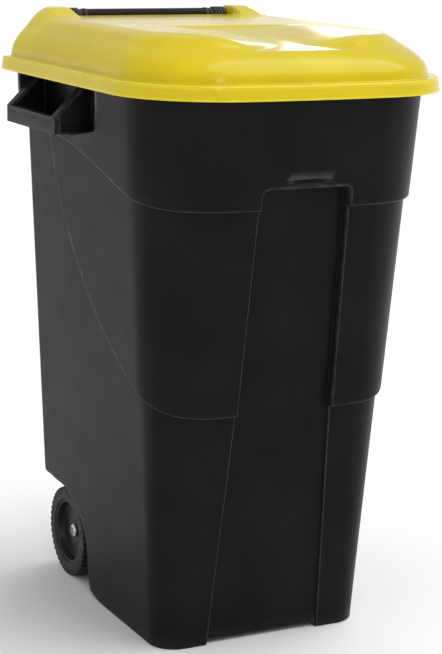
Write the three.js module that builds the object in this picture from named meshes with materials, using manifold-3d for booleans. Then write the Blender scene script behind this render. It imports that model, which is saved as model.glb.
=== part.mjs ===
// Wheelie bin: a tiered moulded tub on two wheels, with a hinged lid, side handles and a rear grip bar.
// Millimetres. The origin is on the ground in the middle of the footprint, -Y is the front, +Z is up.
import * as THREE from "three";
import { mergeVertices } from "three/addons/utils/BufferGeometryUtils.js";
import Module from "manifold-3d";

const wasm = await Module();
wasm.setup();

// ---------------------------------------------------------------- driving dimensions
const GAP = 0.3; // between pieces that touch
const WALL = 4; // tub wall
const FAR = 400; // beyond any part of the bin, for cutting blocks
const SIDES = [
  { name: "left", sign: -1 },
  { name: "right", sign: 1 },
];

const LID = {
  halfWidth: 241,
  front: -294,
  rear: 298,
  frontRadius: 142,
  rearRadius: 41,
  bow: 19, // how far the middle of the front edge stands forward
  skirtBottom: 789,
  skirtTop: 809,
  plateau: 868,
  wall: 3,
  frontRadiusLoss: 0.6, // the corners tighten by this much for each millimetre a ring stands in
  rearRadiusLoss: 0.3,
  leastFrontRadius: 40,
  leastRearRadius: 12,
};

// The rings of the lid from the bottom up: height, then how far each stands in at the side, front and rear.
const DOME = [
  { z: LID.skirtTop, side: 1.5, front: 1.5, rear: 1.5 },
  { z: LID.skirtTop + 0.5, side: 14, front: 14, rear: 6 },
  { z: LID.skirtTop + 15, side: 16, front: 17, rear: 7 },
  { z: LID.skirtTop + 22, side: 19, front: 25, rear: 8 },
  { z: LID.skirtTop + 42, side: 38, front: 60, rear: 9 },
  { z: LID.plateau - 5, side: 54, front: 82, rear: 11 },
  { z: LID.plateau, side: 72, front: 105, rear: 14 },
];

const TUB = {
  datum: LID.skirtBottom, // the height at which the next six values hold
  halfWidth: LID.halfWidth - 21,
  front: LID.front + 21,
  rear: LID.rear - 15,
  frontRadius: 131,
  rearRadius: 35,
  bow: LID.bow,
  baseFrontRadius: 53,
  sideDraft: 0.055,
  frontDraft: 0.137,
  rearDraft: -0.025, // the rear wall leans out a little towards the ground
  tierStep: 6.7, // each tier stands this far in from the tier above
  top: LID.skirtTop - LID.wall - GAP,
  floor: 5, // underside of the floor plate
  rimWidth: 11,
  rimHeight: 6,
};

const UPPER_EDGE = { front: 640, rear: 706, riseFrom: -230, riseTo: 121 };
const LOWER_EDGE = { front: 345, rear: 705, riseFrom: -250, riseTo: 150, power: 1.7 };

const CHANNEL = {
  depth: 6, // below the lowest tier
  baseHalfWidth: 89,
  middleHalfWidth: 74,
  topHalfWidth: 67,
  top: 668,
  cornerRadius: 9,
};

const HAND_RECESS = { wallX: 181, front: 15, rear: 246, blendFront: -70, bottom: 714 - GAP, top: 778 };
const HANDLE = {
  outerX: 241,
  thickness: 10,
  front: 51,
  rear: 242,
  bottom: 714,
  top: 738,
  gusset: 8, // thickness of the cheek at each end
  rootTop: 776,
};

const HINGE = { y: 279, z: 863 };
const GRIP = {
  radius: 13,
  collarRadius: 15,
  collarInner: 114,
  collarOuter: 134,
  spigotRadius: 9,
  spigotLength: 9,
};
const NOTCH = { halfWidth: 137, front: 244 }; // opening in the lid behind which the grip bar lies
const HUMP = { top: 880, front: 205, crest: 254, rear: 292, outer: 172, shoulder: 205, chamfer: 9, sunk: 20 };
const SCOOP = { front: -215, rear: 60, frontHeight: 848, frontHalfWidth: 118, rearHalfWidth: 66, fall: 54 };
const SWING_CUT = { halfWidth: 234, front: 262, top: 812 }; // the rear skirt left out so that the lid can turn
const NOTCH_WALL_CUT = { margin: 12, front: 225 }; // keeps the wall round the notch clear of the shelf
const PIN = { radius: 5, headRadius: 8, headThickness: 3, clearance: 0.3 };
const SHELF = { halfWidth: 150, front: 240 }; // closes the tub under the notch
const FOOT = { rim: 14, panelMargin: 6 }; // width of the foot ring the tub stands on

const WHEEL = { radius: 70, width: 44, outerX: 159, dish: 15, mouthRadius: 49, hubRadius: 15, y: 210 };
const AXLE = { radius: 8, z: WHEEL.radius, clearance: 0.3, endBevel: 1, proud: 3 };
const SADDLE = { inner: 60, outer: 90, halfDepth: 14, below: 12, throat: 6.5 };
const SPACER_RADIUS = 12;
const CAP = { radius: 10.5, side: 4, height: 6, bevel: 2.5 };
const SNUG = 0.1; // radial play of pieces pushed on to the axle or pins
const ARCH = { front: 103, height: 82, innerX: 108 };
const HEEL = { start: 50, radius: 200 };
const AXLE_BAY = { front: WHEEL.y - 30, top: WHEEL.radius + 24 };

// ---------------------------------------------------------------- materials
const plastic = (color, roughness) => new THREE.MeshStandardMaterial({ color, roughness, metalness: 0 });
const charcoal = plastic(0x2b2a2b, 0.6);
const yellow = plastic(0xe0c62c, 0.4);
const blackPlastic = plastic(0x1c1c1e, 0.55);
const rubber = plastic(0x18181a, 0.85);
const steel = new THREE.MeshStandardMaterial({ color: 0xb8babd, roughness: 0.3, metalness: 1 });

// ---------------------------------------------------------------- shape helpers
function solid(geometry) {
  const bare = new THREE.BufferGeometry();
  bare.setAttribute("position", geometry.getAttribute("position"));
  bare.setIndex(geometry.getIndex());
  const welded = mergeVertices(bare, 1e-4);
  const vertProperties = new Float32Array(welded.getAttribute("position").array);
  const triVerts = new Uint32Array(welded.getIndex().array);
  return new wasm.Manifold(new wasm.Mesh({ numProp: 3, vertProperties, triVerts }));
}

function prism(points, start, end, basis) {
  const shape = new THREE.Shape(points.map(([a, b]) => new THREE.Vector2(a, b)));
  const geometry = new THREE.ExtrudeGeometry(shape, { depth: end - start, bevelEnabled: false });
  geometry.translate(0, 0, start);
  geometry.applyMatrix4(new THREE.Matrix4().makeBasis(...basis));
  return solid(geometry);
}

const X = new THREE.Vector3(1, 0, 0);
const Y = new THREE.Vector3(0, 1, 0);
const Z = new THREE.Vector3(0, 0, 1);
const prismAlongX = (yz, x0, x1) => prism(yz, x0, x1, [Y, Z, X]);
const prismAlongY = (xz, y0, y1) => prism(xz, -y1, -y0, [X, Z, Y.clone().negate()]);
const prismAlongZ = (xy, z0, z1) => prism(xy, z0, z1, [X, Y, Z]);

function box(x0, x1, y0, y1, z0, z1) {
  const geometry = new THREE.BoxGeometry(x1 - x0, y1 - y0, z1 - z0);
  geometry.translate((x0 + x1) / 2, (y0 + y1) / 2, (z0 + z1) / 2);
  return solid(geometry);
}

// Turns a closed [x, radius] profile about the X axis.
function turned(profile, segments) {
  const geometry = new THREE.LatheGeometry(
    profile.map(([x, radius]) => new THREE.Vector2(radius, x)),
    segments,
  );
  geometry.rotateZ(-Math.PI / 2);
  return solid(geometry);
}

// A plain round bar along the X axis.
const rod = (x0, x1, radius, segments) => turned([[x0, 0], [x0, radius], [x1, radius], [x1, 0]], segments);

// Joins rings of equal length, listed from the bottom up, into one closed skin.
function loft(rings) {
  const count = rings[0].length;
  const middle = (ring) => {
    const sum = ring.reduce((total, p) => total.add(p), new THREE.Vector3());
    return sum.divideScalar(count);
  };
  const points = [...rings.flat(), middle(rings[0]), middle(rings.at(-1))];
  const index = [];
  const bottomCentre = points.length - 2;
  const topCentre = points.length - 1;
  const topStart = (rings.length - 1) * count;
  for (let i = 0; i < count; i++) {
    const next = (i + 1) % count;
    for (let row = 0; row < rings.length - 1; row++) {
      const low = row * count;
      const high = low + count;
      index.push(low + i, low + next, high + next, low + i, high + next, high + i);
    }
    index.push(bottomCentre, next, i);
    index.push(topCentre, topStart + i, topStart + next);
  }
  const geometry = new THREE.BufferGeometry().setFromPoints(points);
  geometry.setIndex(index);
  return solid(geometry);
}

// A rounded rectangle at height z, anticlockwise from above, with a bowed front edge.
function outline({ halfWidth, front, rear, frontRadius, rearRadius, bow }, z) {
  const half = [];
  const frontEnd = halfWidth - frontRadius;
  const bowAt = (x) => front + bow * (x / halfWidth) ** 2;
  const bowSteps = 3;
  for (let i = 0; i <= bowSteps; i++) {
    const x = (frontEnd * i) / bowSteps;
    half.push([x, bowAt(x)]);
  }
  const corner = (radius, centreX, centreY, startAngle, steps) => {
    for (let i = 1; i <= steps; i++) {
      const angle = startAngle + (Math.PI / 2) * (i / steps);
      half.push([centreX + radius * Math.cos(angle), centreY + radius * Math.sin(angle)]);
    }
  };
  corner(frontRadius, frontEnd, bowAt(frontEnd) + frontRadius, -Math.PI / 2, 8);
  half.push([halfWidth, rear - rearRadius]);
  corner(rearRadius, halfWidth - rearRadius, rear - rearRadius, 0, 5);
  const mirrored = half.slice(1).reverse().map(([x, y]) => [-x, y]);
  return [...half, ...mirrored].map(([x, y]) => new THREE.Vector3(x, y, z));
}

const unionOf = (solids) => solids.reduce((whole, piece) => whole.add(piece));
const bothSides = (make) => unionOf(SIDES.map(({ sign }) => make(sign)));
const mirrorX = (points, sign) => (sign > 0 ? points : points.map(([x, other]) => [-x, other]).reverse());

// ---------------------------------------------------------------- tub
// Plan outline of the tub wall at height z, moved in by inset.
function tubOutline(z, inset) {
  const drop = TUB.datum - z;
  const share = drop / TUB.datum;
  const cornerRadius = THREE.MathUtils.lerp(TUB.frontRadius, TUB.baseFrontRadius, share);
  return outline(
    {
      halfWidth: TUB.halfWidth - TUB.sideDraft * drop - inset,
      front: TUB.front + TUB.frontDraft * drop + inset,
      rear: TUB.rear - TUB.rearDraft * drop - inset,
      frontRadius: cornerRadius - inset,
      rearRadius: TUB.rearRadius - inset,
      bow: TUB.bow * (1 - share),
    },
    z,
  );
}

const tubLoft = (inset, z0, z1) => loft([tubOutline(z0, inset), tubOutline(z1, inset)]);

// Height of the lower edge of the top tier: level in front, then a gentle sweep up to the handles.
function upperEdge(y) {
  const share = THREE.MathUtils.smoothstep(y, UPPER_EDGE.riseFrom, UPPER_EDGE.riseTo);
  return THREE.MathUtils.lerp(UPPER_EDGE.front, UPPER_EDGE.rear, share);
}

// Height of the lower edge of the middle tier: level in front, then a quarter of a superellipse.
function lowerEdge(y) {
  const along = THREE.MathUtils.inverseLerp(LOWER_EDGE.riseFrom, LOWER_EDGE.riseTo, y);
  const share = THREE.MathUtils.clamp(along, 0, 1);
  const below = (1 - share ** LOWER_EDGE.power) ** (1 / LOWER_EDGE.power);
  return THREE.MathUtils.lerp(LOWER_EDGE.rear, LOWER_EDGE.front, below);
}

// Everything above an edge curve, as a slab across the bin.
function above(edge, from, to, lift) {
  const steps = 12;
  const points = [[-FAR, edge(-FAR) + lift]];
  for (let i = 0; i <= steps; i++) {
    const y = THREE.MathUtils.lerp(from, to, i / steps);
    points.push([y, edge(y) + lift]);
  }
  points.push([FAR, edge(FAR) + lift], [FAR, LID.skirtTop + FAR], [-FAR, LID.skirtTop + FAR]);
  return prismAlongX(points, -FAR, FAR);
}

// The tapering inset panel down the middle of the front.
function channel(inset) {
  const low = -1;
  const side = (height, halfWidth) => [halfWidth + inset, height];
  const top = CHANNEL.top + inset;
  const radius = CHANNEL.cornerRadius;
  const diagonal = radius * (1 - Math.SQRT1_2); // from a sharp corner to the middle of the rounded one
  const right = [
    side(low, CHANNEL.baseHalfWidth),
    side(LOWER_EDGE.front, CHANNEL.middleHalfWidth),
    side(top - radius, CHANNEL.topHalfWidth),
    [CHANNEL.topHalfWidth + inset - diagonal, top - diagonal],
    [CHANNEL.topHalfWidth + inset - radius, top],
  ];
  const left = right.map(([x, z]) => [-x, z]).reverse();
  const panel = prismAlongY([...right, ...left], -FAR, 0);
  const floorInset = 2 * TUB.tierStep + CHANNEL.depth + inset;
  return panel.subtract(tubLoft(floorInset, low - 10, LID.skirtTop));
}

// The hollow in each side wall that makes room for a hand behind the handle.
function handRecess(sign, grow) {
  const reach = 300; // the slanted front end passes the outer wall on its way here
  const wallX = HAND_RECESS.wallX - grow;
  const rear = HAND_RECESS.rear + grow;
  const points = [
    [wallX, HAND_RECESS.front - grow],
    [reach, HAND_RECESS.blendFront - (HAND_RECESS.front - HAND_RECESS.blendFront) - grow],
    [reach, rear],
    [wallX, rear],
  ];
  return prismAlongZ(mirrorX(points, sign), HAND_RECESS.bottom - grow, HAND_RECESS.top + grow);
}

// The arch over each wheel, open below, behind and to the side.
function wheelArch(sign, grow) {
  const steps = 8;
  const points = [[FAR, -FAR], [WHEEL.y - ARCH.front - grow, -FAR]];
  for (let i = 0; i <= steps; i++) {
    const angle = (Math.PI / 2) * (i / steps);
    const y = WHEEL.y - (ARCH.front + grow) * Math.cos(angle);
    points.push([y, AXLE.z + (ARCH.height + grow) * Math.sin(angle)]);
  }
  points.push([FAR, AXLE.z + ARCH.height + grow]);
  const inner = ARCH.innerX - grow;
  const span = sign > 0 ? [inner, FAR] : [-FAR, -inner];
  return prismAlongX(points.reverse(), ...span);
}

// The bay between the arches where the axle runs.
function axleBay(grow) {
  const half = ARCH.innerX + 1;
  return box(-half, half, AXLE_BAY.front - grow, FAR, -FAR, AXLE_BAY.top + grow);
}

// What is cut away under the rear, where the foot of the tub curves up so that the bin can tip back.
function heel(lift) {
  const steps = 8;
  const end = HEEL.start + Math.sqrt(2 * HEEL.radius * AXLE_BAY.top);
  const points = [[HEEL.start, -FAR], [end, -FAR]];
  for (let i = steps; i >= 0; i--) {
    const y = THREE.MathUtils.lerp(HEEL.start, end, i / steps);
    points.push([y, (y - HEEL.start) ** 2 / (2 * HEEL.radius) + lift]);
  }
  return prismAlongX(points, -FAR, FAR);
}

// The closed block that the tub fills, or with an inset the block that its hollow fills.
function tubBlock(inset, bottom, top) {
  const lowest = tubLoft(2 * TUB.tierStep + inset, bottom, top);
  const middle = tubLoft(TUB.tierStep + inset, bottom, top);
  const upper = tubLoft(inset, bottom, top);
  const middleZone = above(lowerEdge, LOWER_EDGE.riseFrom, LOWER_EDGE.riseTo, inset);
  const upperZone = above(upperEdge, UPPER_EDGE.riseFrom, UPPER_EDGE.riseTo, inset);
  return lowest
    .add(middle.intersect(middleZone))
    .add(upper.intersect(upperZone))
    .subtract(channel(inset))
    .subtract(bothSides((sign) => handRecess(sign, inset)))
    .subtract(bothSides((sign) => wheelArch(sign, inset)))
    .subtract(axleBay(inset))
    .subtract(heel(inset > 0 ? TUB.floor + inset : 0));
}

// Flange round the top of the tub. It stops short of the rear, where the lid swings past.
function rim() {
  const bottom = TUB.top - TUB.rimHeight;
  const flange = tubLoft(-TUB.rimWidth, bottom, TUB.top);
  const behind = box(-FAR, FAR, TUB.rear - TUB.rearRadius / 2, FAR, bottom - 1, TUB.top + 1);
  const hollow = tubLoft(WALL, bottom - 1, TUB.top + 1);
  return flange.subtract(behind).subtract(hollow);
}

function tub() {
  const hollow = tubBlock(WALL, TUB.floor + WALL, TUB.top + 1);
  const underside = tubLoft(2 * TUB.tierStep + FOOT.rim, -1, TUB.floor);
  const panelHalf = CHANNEL.baseHalfWidth - FOOT.panelMargin;
  const panelFoot = box(-panelHalf, panelHalf, -FAR, 0, -1, TUB.floor);
  const shelf = box(
    -SHELF.halfWidth, SHELF.halfWidth,
    SHELF.front, TUB.rear - 1,
    TUB.top - TUB.rimHeight, TUB.top,
  );
  return tubBlock(0, 0, TUB.top)
    .subtract(hollow)
    .subtract(underside)
    .subtract(panelFoot)
    .add(rim())
    .add(shelf);
}

// ---------------------------------------------------------------- handles and hinge
function sideHandle(sign) {
  const { outerX, thickness, front, rear, bottom, top, gusset, rootTop } = HANDLE;
  const root = HAND_RECESS.wallX + GAP;
  const slopeEnd = outerX - (rootTop - top);
  const profile = [[root, bottom], [root, rootTop], [slopeEnd, rootTop], [outerX, top], [outerX, bottom]];
  const cheek = mirrorX(profile, sign);
  const barX = sign > 0 ? [outerX - thickness, outerX] : [-outerX, thickness - outerX];
  return box(...barX, front, rear, bottom, top)
    .add(prismAlongY(cheek, front, front + gusset))
    .add(prismAlongY(cheek, rear - gusset, rear));
}

// Upright that carries one end of the grip bar and one hinge pin.
function hingeArm(sign) {
  const { collarInner, collarOuter, collarRadius, spigotRadius, spigotLength } = GRIP;
  const span = sign > 0 ? [collarInner, collarOuter] : [-collarOuter, -collarInner];
  const foot = TUB.top + GAP;
  const footDepth = 16;
  const halfTop = 7;
  const upright = [
    [TUB.rear - footDepth, foot],
    [TUB.rear, foot],
    [HINGE.y + halfTop, HINGE.z],
    [HINGE.y - halfTop, HINGE.z],
  ];
  const atHinge = (piece) => piece.translate([0, HINGE.y, HINGE.z]);
  const collar = rod(...span, collarRadius, 32);
  const bore = rod(span[0] - 1, span[1] + 1, PIN.radius + PIN.clearance, 24);
  const socketEnds = [sign * (collarInner + spigotLength + GAP), sign * (collarInner - 1)];
  const socket = rod(Math.min(...socketEnds), Math.max(...socketEnds), spigotRadius + GAP, 24);
  return prismAlongX(upright, ...span).add(atHinge(collar)).subtract(atHinge(bore)).subtract(atHinge(socket));
}

function gripBar() {
  const end = GRIP.collarInner - GAP;
  const tip = end + GRIP.spigotLength;
  const profile = [
    [-tip, 0],
    [-tip, GRIP.spigotRadius],
    [-end, GRIP.spigotRadius],
    [-end, GRIP.radius],
    [end, GRIP.radius],
    [end, GRIP.spigotRadius],
    [tip, GRIP.spigotRadius],
    [tip, 0],
  ];
  return turned(profile, 32).translate([0, HINGE.y, HINGE.z]);
}

function hingePin(sign) {
  const tip = GRIP.collarInner + GRIP.spigotLength + 2;
  const headStart = NOTCH.halfWidth + LID.wall + GAP;
  const headEnd = headStart + PIN.headThickness;
  const profile = [[tip, 0], [tip, PIN.radius], [headStart, PIN.radius], [headStart, PIN.headRadius],
    [headEnd, PIN.headRadius], [headEnd, 0]];
  const pin = turned(profile, 24);
  return (sign > 0 ? pin : pin.mirror([1, 0, 0])).translate([0, HINGE.y, HINGE.z]);
}

// ---------------------------------------------------------------- lid
// One ring of the lid, moved in by inset.
function lidRing({ z, side, front, rear }, inset) {
  return outline(
    {
      halfWidth: LID.halfWidth - side - inset,
      front: LID.front + front + inset,
      rear: LID.rear - rear - inset,
      frontRadius: Math.max(LID.frontRadius - side * LID.frontRadiusLoss, LID.leastFrontRadius) - inset,
      rearRadius: Math.max(LID.rearRadius - side * LID.rearRadiusLoss, LID.leastRearRadius) - inset,
      bow: LID.bow,
    },
    z,
  );
}

// The domed block of the lid. The inset version, lowered by the wall, is its hollow.
function lidBlock(inset) {
  const bottom = { z: LID.skirtBottom - (inset > 0 ? 1 : 0), side: 0, front: 0, rear: 0 };
  const rings = [bottom, ...DOME.map((ring) => ({ ...ring, z: ring.z - inset }))];
  const dome = loft(rings.map((ring) => lidRing(ring, inset)));
  return dome
    .add(bothSides((sign) => hump(sign, inset)))
    .subtract(scoop(inset))
    .subtract(notch(inset));
}

// Raised cover over one hinge pin: a ramp seen from the side, with a sloping shoulder seen from the front.
function hump(sign, inset) {
  const top = HUMP.top - inset;
  const root = LID.plateau - HUMP.sunk;
  const rear = HUMP.rear - inset;
  const sideView = [
    [HUMP.front, root],
    [rear, root],
    [rear, top - HUMP.chamfer],
    [rear - HUMP.chamfer, top],
    [HUMP.crest, top],
    [HUMP.front, LID.plateau - inset],
  ];
  const inner = NOTCH.halfWidth + inset;
  const shoulder = HUMP.shoulder - inset;
  const frontView = [[inner, root], [shoulder, root], [HUMP.outer - inset, top], [inner, top]];
  const span = sign > 0 ? [inner, shoulder] : [-shoulder, -inner];
  const plan = { side: LID.halfWidth - HUMP.shoulder, front: 0, rear: LID.rear - HUMP.rear };
  const corner = [root - 1, top + 1].map((z) => lidRing({ ...plan, z }, inset));
  return prismAlongX(sideView, ...span)
    .intersect(prismAlongY(mirrorX(frontView, sign), 0, FAR))
    .intersect(loft(corner));
}

// Hollow in the front of the lid where the fingers lift it.
function scoop(inset) {
  const sky = HUMP.top + 1;
  const floor = [
    [-FAR, SCOOP.frontHeight - SCOOP.fall - inset],
    [SCOOP.front, SCOOP.frontHeight - inset],
    [SCOOP.rear, LID.plateau - inset],
    [SCOOP.rear, sky],
    [-FAR, sky],
  ];
  const rearHalf = SCOOP.rearHalfWidth + inset;
  const frontHalf = SCOOP.frontHalfWidth + inset;
  const left = [[-rearHalf, SCOOP.rear + 1], [-frontHalf, SCOOP.front], [-frontHalf, -FAR]];
  const right = mirrorX(left, -1);
  const plan = [...left, ...right];
  return prismAlongX(floor, -FAR, FAR).intersect(prismAlongZ(plan, LID.skirtBottom, sky + 1));
}

function notch(inset) {
  const half = NOTCH.halfWidth + inset;
  return box(-half, half, NOTCH.front - inset, FAR, LID.skirtBottom - 2, HUMP.top + 1);
}

function lid() {
  const below = LID.skirtBottom - 2;
  const swingHalf = SWING_CUT.halfWidth;
  const swingClearance = box(-swingHalf, swingHalf, SWING_CUT.front, FAR, below, SWING_CUT.top);
  const wallHalf = NOTCH.halfWidth + NOTCH_WALL_CUT.margin;
  const wallFoot = box(-wallHalf, wallHalf, NOTCH_WALL_CUT.front, SWING_CUT.front, below, TUB.top + GAP);
  const pinHoles = rod(-HUMP.outer, HUMP.outer, PIN.radius + SNUG, 24);
  return lidBlock(0)
    .subtract(lidBlock(LID.wall))
    .subtract(swingClearance)
    .subtract(wallFoot)
    .subtract(pinHoles.translate([0, HINGE.y, HINGE.z]));
}

// ---------------------------------------------------------------- wheels and axle
const atAxle = (piece) => piece.translate([0, WHEEL.y, AXLE.z]);

function alongSide(profile, segments, sign) {
  const piece = turned(profile, segments);
  return atAxle(sign > 0 ? piece : piece.mirror([1, 0, 0]));
}

const wheelInnerX = WHEEL.outerX - WHEEL.width;
const discOuterX = WHEEL.outerX - WHEEL.dish;

function tyre(sign) {
  const inner = WHEEL.mouthRadius + GAP;
  const shoulder = 4;
  const profile = [
    [wheelInnerX, inner],
    [wheelInnerX, WHEEL.radius - shoulder],
    [wheelInnerX + shoulder, WHEEL.radius],
    [WHEEL.outerX - shoulder, WHEEL.radius],
    [WHEEL.outerX, WHEEL.radius - shoulder],
    [WHEEL.outerX, inner],
    [wheelInnerX, inner],
  ];
  return alongSide(profile, 48, sign);
}

function wheelRim(sign) {
  const bore = AXLE.radius + AXLE.clearance;
  const band = 5;
  const disc = 5;
  const profile = [
    [wheelInnerX, bore],
    [wheelInnerX, WHEEL.hubRadius],
    [discOuterX - disc, WHEEL.hubRadius],
    [discOuterX - disc, WHEEL.mouthRadius - band],
    [wheelInnerX, WHEEL.mouthRadius - band],
    [wheelInnerX, WHEEL.mouthRadius],
    [WHEEL.outerX, WHEEL.mouthRadius],
    [WHEEL.outerX, WHEEL.mouthRadius - band],
    [discOuterX, WHEEL.mouthRadius - band - 3],
    [discOuterX, bore],
    [wheelInnerX, bore],
  ];
  return alongSide(profile, 48, sign);
}

const axleEnd = discOuterX + AXLE.proud;

function axle() {
  const edge = AXLE.radius - AXLE.endBevel;
  const straight = axleEnd - AXLE.endBevel;
  const profile = [
    [-axleEnd, 0],
    [-axleEnd, edge],
    [-straight, AXLE.radius],
    [straight, AXLE.radius],
    [axleEnd, edge],
    [axleEnd, 0],
  ];
  return atAxle(turned(profile, 32));
}

// Push-on cap that keeps the wheel on the axle.
function axleCap(sign) {
  const start = discOuterX + GAP;
  const bore = AXLE.radius + SNUG;
  const profile = [
    [start, bore],
    [start, CAP.radius],
    [start + CAP.side, CAP.radius],
    [start + CAP.height, CAP.radius - CAP.bevel],
    [start + CAP.height, 0],
    [axleEnd + GAP, 0],
    [axleEnd + GAP, bore],
    [start, bore],
  ];
  return alongSide(profile, 32, sign);
}

// Sleeve that keeps the wheel clear of the saddle.
function axleSpacer(sign) {
  const bore = AXLE.radius + SNUG;
  const start = SADDLE.outer + GAP;
  const end = wheelInnerX - GAP;
  const profile = [[start, bore], [start, SPACER_RADIUS], [end, SPACER_RADIUS], [end, bore], [start, bore]];
  return alongSide(profile, 32, sign);
}

// Hanger under the tub that the axle snaps into from below.
function axleSaddle(sign) {
  const { inner, outer, halfDepth, below, throat } = SADDLE;
  const span = sign > 0 ? [inner, outer] : [-outer, -inner];
  const wider = [span[0] - 1, span[1] + 1];
  const block = box(...span, WHEEL.y - halfDepth, WHEEL.y + halfDepth, AXLE.z - below, AXLE_BAY.top - GAP);
  const hole = rod(...wider, AXLE.radius + SNUG, 32);
  const mouth = box(...wider, WHEEL.y - throat, WHEEL.y + throat, AXLE.z - below - 1, AXLE.z);
  return block.subtract(atAxle(hole)).subtract(mouth);
}

// ---------------------------------------------------------------- assembly
const bin = new THREE.Group();

function place(name, piece, material) {
  const { vertProperties, triVerts } = piece.getMesh();
  const geometry = new THREE.BufferGeometry();
  geometry.setAttribute("position", new THREE.BufferAttribute(new Float32Array(vertProperties), 3));
  geometry.setIndex(new THREE.BufferAttribute(new Uint32Array(triVerts), 1));
  geometry.computeVertexNormals();
  const mesh = new THREE.Mesh(geometry, material);
  mesh.name = name;
  bin.add(mesh);
}

place("tub", tub(), charcoal);
place("lid", lid(), yellow);
place("grip_bar", gripBar(), charcoal);
place("axle", axle(), steel);
for (const { name, sign } of SIDES) {
  place(`${name}_side_handle`, sideHandle(sign), charcoal);
  place(`${name}_hinge_arm`, hingeArm(sign), charcoal);
  place(`${name}_hinge_pin`, hingePin(sign), blackPlastic);
  place(`${name}_axle_saddle`, axleSaddle(sign), blackPlastic);
  place(`${name}_axle_spacer`, axleSpacer(sign), blackPlastic);
  place(`${name}_wheel_rim`, wheelRim(sign), blackPlastic);
  place(`${name}_tyre`, tyre(sign), rubber);
  place(`${name}_axle_cap`, axleCap(sign), steel);
}

export default bin;
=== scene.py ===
"""Wheelie bin: a tiered charcoal tub on two wheels under a yellow lid, in a plain bright studio."""

import math
from contextlib import contextmanager

import bmesh
import bpy
import numpy as np
from mathutils import Matrix, Vector


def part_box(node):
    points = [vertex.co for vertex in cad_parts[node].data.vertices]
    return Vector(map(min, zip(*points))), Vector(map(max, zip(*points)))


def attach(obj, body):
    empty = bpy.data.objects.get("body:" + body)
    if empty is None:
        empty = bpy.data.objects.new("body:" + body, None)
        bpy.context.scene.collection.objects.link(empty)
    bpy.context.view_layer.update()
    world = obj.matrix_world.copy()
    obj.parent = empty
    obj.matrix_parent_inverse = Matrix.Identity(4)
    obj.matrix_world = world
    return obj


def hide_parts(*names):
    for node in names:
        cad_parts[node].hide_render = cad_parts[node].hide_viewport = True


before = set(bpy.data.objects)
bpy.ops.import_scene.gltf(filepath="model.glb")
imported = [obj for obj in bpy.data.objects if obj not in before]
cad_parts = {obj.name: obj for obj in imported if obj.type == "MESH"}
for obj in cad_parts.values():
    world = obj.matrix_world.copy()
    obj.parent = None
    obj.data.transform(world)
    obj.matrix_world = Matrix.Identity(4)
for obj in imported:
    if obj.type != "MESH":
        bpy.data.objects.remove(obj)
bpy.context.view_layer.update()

MM = 0.001  # the shapes below are worked out in millimetres
HAIR = 0.02  # between the two lines of points where a surface turns a sharp corner


def span(node):
    """Lowest and highest corner of a CAD node, in millimetres."""
    low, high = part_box(node)
    return np.array(low) / MM, np.array(high) / MM


# ---- driving dimensions
LID_LOW, LID_HIGH = span("lid")
GRIP_LOW, GRIP_HIGH = span("grip_bar")
AXLE_LOW, AXLE_HIGH = span("axle")
TYRE_LOW, TYRE_HIGH = span("right_tyre")
RIM_LOW, RIM_HIGH = span("right_wheel_rim")
CAP_LOW, CAP_HIGH = span("right_axle_cap")
SADDLE_LOW, SADDLE_HIGH = span("right_axle_saddle")
SPACER_LOW, SPACER_HIGH = span("right_axle_spacer")
ARM_LOW, ARM_HIGH = span("right_hinge_arm")
PIN_LOW, PIN_HIGH = span("right_hinge_pin")
HANDLE_LOW, HANDLE_HIGH = span("right_side_handle")

HINGE = HINGE_Y, HINGE_Z = (GRIP_LOW + GRIP_HIGH)[1:] / 2
AXLE = WHEEL_Y, AXLE_Z = (AXLE_LOW + AXLE_HIGH)[1:] / 2
RIM_RADIUS = (RIM_HIGH[2] - RIM_LOW[2]) / 2

GAP = 0.3  # between pieces that touch
PIN_RADIUS = 5
SPIGOT_RADIUS = 9  # of the grip bar's ends, which go into the hinge arms
SPIGOT_LENGTH = 9
AXLE_BORE = 8.1  # radius of the bore in the pieces that grip the axle
WHEEL_BORE = 8.3

LID_SKIRT = LID_LOW[2]
LID_REAR = LID_HIGH[1] + 6
LID_HALF = LID_HIGH[0]
LID_FRONT = LID_LOW[1]
LID_WALL = 3
LEDGE = LID_SKIRT + 20  # top of the lid's skirt
PLATEAU = LEDGE + 59
HUMP_TOP = LID_HIGH[2]

WALL = 4
TUB_TOP = span("tub")[1][2]
TUB_HALF = LID_HALF - 21  # at the datum height, the bottom of the lid's skirt
TUB_FRONT = LID_FRONT + 21
TUB_REAR = LID_REAR - 15
SIDE_DRAFT = 0.055
FRONT_DRAFT = 0.137
REAR_DRAFT = -0.025
FRONT_RADIUS = 131
BASE_FRONT_RADIUS = 53
REAR_RADIUS = 35
BOW = 19  # how far the middle of the front stands forward
TIER_STEP = 6.7  # each tier stands this far in from the tier above
RIM_WIDTH = 11
RIM_HEIGHT = 6
FLOOR = 5

# Lower edges of the two upper tiers: height at front and rear, and where along the bin they climb.
UPPER_FRONT, UPPER_REAR, UPPER_START, UPPER_END = 640, 706, -230, 121
LOWER_FRONT, LOWER_REAR, LOWER_START, LOWER_END, LOWER_POWER = 345, 705, -250, 150, 1.7

CHANNEL_DEPTH = 6  # the channel is the inset panel down the front
CHANNEL_TOP = 668
CHANNEL_RADIUS = 9
CHANNEL_HEIGHTS = (0, LOWER_FRONT, CHANNEL_TOP)
CHANNEL_HALVES = (89, 74, 67)

THUMB_TOP = 681
THUMB_HALF = 27
THUMB_DEPTH = 2.4
THUMB_FALL = (-0.2, 0.2, 0.5, 0.8, 1.2, 2.0, 3.2, 4.6, 6.1, 7.6)  # places below its top, for its points

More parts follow.
